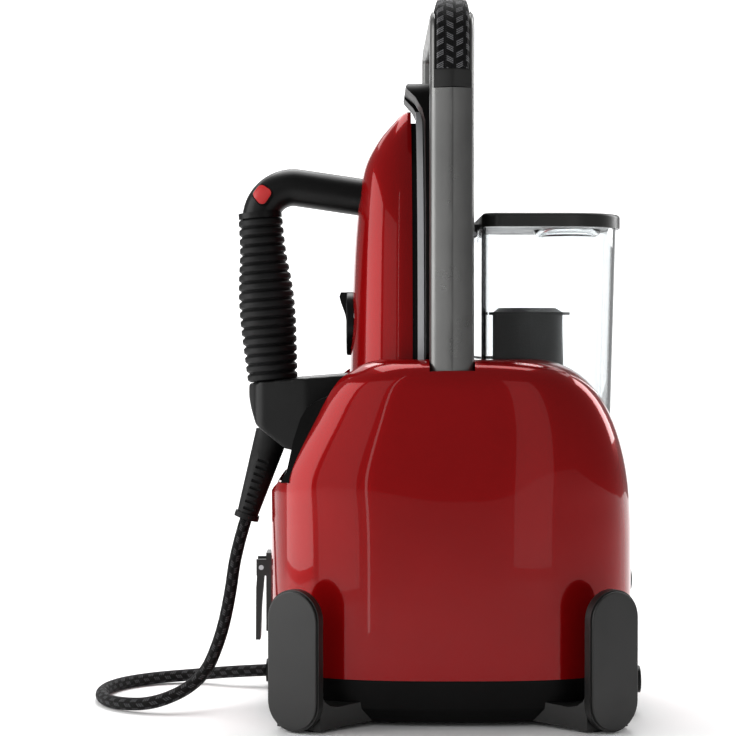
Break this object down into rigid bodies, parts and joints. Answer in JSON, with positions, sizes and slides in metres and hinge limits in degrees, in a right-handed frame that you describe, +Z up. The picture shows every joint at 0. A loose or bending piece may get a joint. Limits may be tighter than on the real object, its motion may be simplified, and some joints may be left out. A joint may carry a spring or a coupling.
{
  "type": "garment steamer",
  "caption": "Portable steam ironing station: a rounded base with paddle feet, carry handle and clear water tank, and a steam iron docked upright in front on a braided hose.",
  "frame": {"origin": "middle of the bottom of the object's outer box, hose left out, on the surface that it stands on", "axes": "+Z up; -Y is the front, where the iron is docked, and +Y the back, where the tank is; +X is to the right seen from the front"},
  "size_m": [0.2016, 0.3312, 0.42],
  "materials": {
    "red_gloss": "glossy lacquer-like moulding, deep red",
    "button_red": "semi-gloss red moulding",
    "pan_black": "fine-textured black moulding",
    "satin_grey": "satin dark grey moulding",
    "sleeve_weave": "black and grey woven cord cover",
    "hose_braid": "black braid with grey flecks",
    "soft_rubber": "matt black rubber",
    "handle_black": "semi-matt black moulding",
    "tank_clear": "clear moulded plastic, polished",
    "lid_grey": "satin charcoal moulding",
    "filter_black": "finely textured black moulding",
    "sole_steel": "polished steel with fine brushing",
    "cast_alloy": "cast aluminium",
    "felt": "grey felt",
    "brass_fittings": "turned brass",
    "plain_steel": "zinc plated steel",
    "inner_plastic": "natural nylon moulding",
    "board_green": "circuit board",
    "silicone_tube": "milky silicone tube",
    "lamp_amber": "amber lens"
  },
  "bodies": {
    "base": {"base_pan": "pan_black", "base_screws": "plain_steel", "body_shell": "red_gloss", "boiler_heater": "plain_steel", "boiler_jacket": "felt", "boiler_thermostat": "plain_steel", "boiler_vessel": "cast_alloy", "carry_handle": "satin_grey", "clip_bracket": "satin_grey", "clip_pin": "plain_steel", "control_board": "board_green", "control_panel": "handle_black", "cradle_insert": "pan_black", "foot_covers": "satin_grey", "foot_front_left": "satin_grey", "foot_front_right": "satin_grey", "foot_pads": "soft_rubber", "foot_rear_left": "satin_grey", "foot_rear_right": "satin_grey", "grip_sleeve": "sleeve_weave", "handle_brackets": "plain_steel", "handle_collars": "satin_grey", "heel_pads": "soft_rubber", "hose_gland": "handle_black", "inner_tubes": "silicone_tube", "lamp_lens": "lamp_amber", "mains_inlet": "handle_black", "pump_body": "inner_plastic", "pump_mounts": "soft_rubber", "rest_plate": "pan_black", "safety_valve": "brass_fittings", "seat_seal": "soft_rubber", "solenoid_valve": "brass_fittings", "steam_hose": "hose_braid", "tank_seat": "pan_black"},
    "iron": {"iron_shell": "red_gloss", "iron_skirt": "handle_black", "soleplate": "sole_steel", "heater_casting": "cast_alloy", "iron_thermostat": "inner_plastic", "handle_tube": "handle_black", "ribbed_grip": "soft_rubber", "grip_collar": "handle_black", "heel_cover": "satin_grey", "microswitch": "inner_plastic", "hose_boot": "soft_rubber"},
    "steam_button": {"steam_button": "button_red"},
    "dial": {"thermostat_dial": "handle_black"},
    "tank": {"tank_body": "tank_clear", "tank_valve": "inner_plastic", "lid_pin": "plain_steel"},
    "lid": {"tank_lid": "lid_grey", "lid_dish": "tank_clear"},
    "filter": {"filter_cartridge": "filter_black", "filter_cap": "filter_black"},
    "clip": {"clip_lever": "satin_grey"},
    "power_button": {"power_button": "handle_black"},
    "eco_button": {"eco_button": "handle_black"},
    "pump_plunger": {"pump_plunger": "plain_steel"},
    "solenoid_plunger": {"solenoid_plunger": "plain_steel"}
  },
  "joints": [
    {"name": "iron_lift", "type": "slide", "parent": "base", "child": "iron", "axis": [0, -0.766, 0.6428], "range_m": [0, 0.12]},
    {"name": "steam_button_press", "type": "slide", "parent": "iron", "child": "steam_button", "axis": [0, 0.7071, -0.7071], "range_m": [0, 0.0012], "stiffness_N_per_m": 1500},
    {"name": "dial_turn", "type": "hinge", "parent": "iron", "child": "dial", "pos_m": [0, -0.05, 0.2324], "axis": [0, -1, 0], "range_deg": [0, 210]},
    {"name": "tank_lift", "type": "slide", "parent": "base", "child": "tank", "axis": [0, 0, 1], "range_m": [0, 0.088]},
    {"name": "lid_open", "type": "hinge", "parent": "tank", "child": "lid", "pos_m": [0, 0.025, 0.287], "axis": [1, 0, 0], "range_deg": [0, 70]},
    {"name": "filter_turn", "type": "hinge", "parent": "tank", "child": "filter", "pos_m": [0, 0.0576, 0.2], "axis": [0, 0, 1], "range_deg": [0, 45]},
    {"name": "clip_open", "type": "hinge", "parent": "base", "child": "clip", "pos_m": [0, -0.1054, 0.083], "axis": [-1, 0, 0], "range_deg": [0, 30], "stiffness_Nm_per_rad": 0.05, "springref_deg": -11.46},
    {"name": "power_press", "type": "slide", "parent": "base", "child": "power_button", "axis": [0, -1, 0], "range_m": [0, 0.0015], "stiffness_N_per_m": 1000},
    {"name": "eco_press", "type": "slide", "parent": "base", "child": "eco_button", "axis": [0, -1, 0], "range_m": [0, 0.0015], "stiffness_N_per_m": 1000},
    {"name": "pump_stroke", "type": "slide", "parent": "base", "child": "pump_plunger", "axis": [0, 1, 0], "range_m": [-0.0015, 0.0015], "stiffness_N_per_m": 3000},
    {"name": "valve_stroke", "type": "slide", "parent": "base", "child": "solenoid_plunger", "axis": [0, 0, 1], "range_m": [0, 0.0018], "stiffness_N_per_m": 500}
  ]
}
